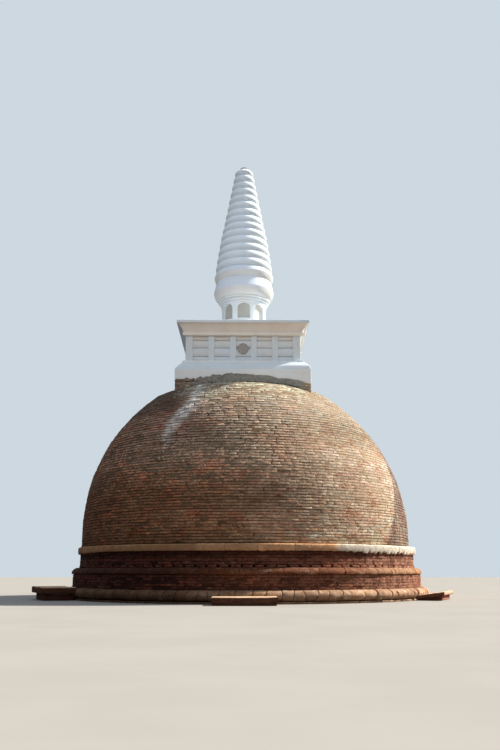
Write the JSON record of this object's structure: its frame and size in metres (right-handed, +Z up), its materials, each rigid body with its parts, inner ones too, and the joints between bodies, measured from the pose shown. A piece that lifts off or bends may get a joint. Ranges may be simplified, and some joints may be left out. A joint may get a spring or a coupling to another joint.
{
  "type": "stupa",
  "caption": "Brick bubble-domed stupa on a moulded round base, with a square white railing chamber, a niche drum and a ringed conical spire.",
  "frame": {"origin": "centre of the round base at ground level", "axes": "+Z up along the axis of the dome and spire, -Y towards the front (the side with the front altar slab), +X to the right seen from the front"},
  "size_m": [9.8056, 10, 11.61],
  "materials": {
    "dome_brick": "weathered handmade brick with limey mortar",
    "base_brick": "darker red-brown brick courses",
    "moulded_brick": "rounded moulded brick blocks",
    "limestone": "pale worn limestone slabs",
    "white_plaster": "white limewashed plaster, matt",
    "niche_plaster": "cream-grey plaster",
    "cement": "rough grey cement render",
    "grey_disc": "unpainted grey render",
    "altar_stone": "dark worn stone slabs on brick",
    "iron": "dull rusted socket"
  },
  "bodies": {
    "root": {"footing_course": "moulded_brick", "base_torus": "moulded_brick", "lower_drum": "base_brick", "string_course": "moulded_brick", "upper_drum": "base_brick", "cornice": "limestone", "dome": "dome_brick", "altar_support_front": "altar_stone", "altar_slab_front": "altar_stone", "altar_support_right": "altar_stone", "altar_slab_right": "altar_stone", "altar_support_back": "altar_stone", "altar_slab_back": "altar_stone", "altar_support_left": "altar_stone", "altar_slab_left": "altar_stone", "chamber_footing": "cement", "chamber_plinth": "white_plaster", "chamber_core": "white_plaster", "corner_post_front_right": "white_plaster", "corner_post_back_right": "white_plaster", "corner_post_back_left": "white_plaster", "corner_post_front_left": "white_plaster", "railing_front": "white_plaster", "railing_right": "white_plaster", "railing_back": "white_plaster", "railing_left": "white_plaster", "disc_front": "grey_disc", "disc_right": "grey_disc", "disc_back": "grey_disc", "disc_left": "grey_disc", "chamber_fillet": "white_plaster", "chamber_cavetto": "white_plaster", "chamber_fascia": "white_plaster", "drum_sill": "white_plaster", "niche_drum": "niche_plaster", "neck_mouldings": "white_plaster", "lower_ring": "white_plaster", "upper_ring": "white_plaster", "ringed_cone": "white_plaster", "cone_cap": "white_plaster", "cap_socket": "iron"}
  },
  "joints": []
}
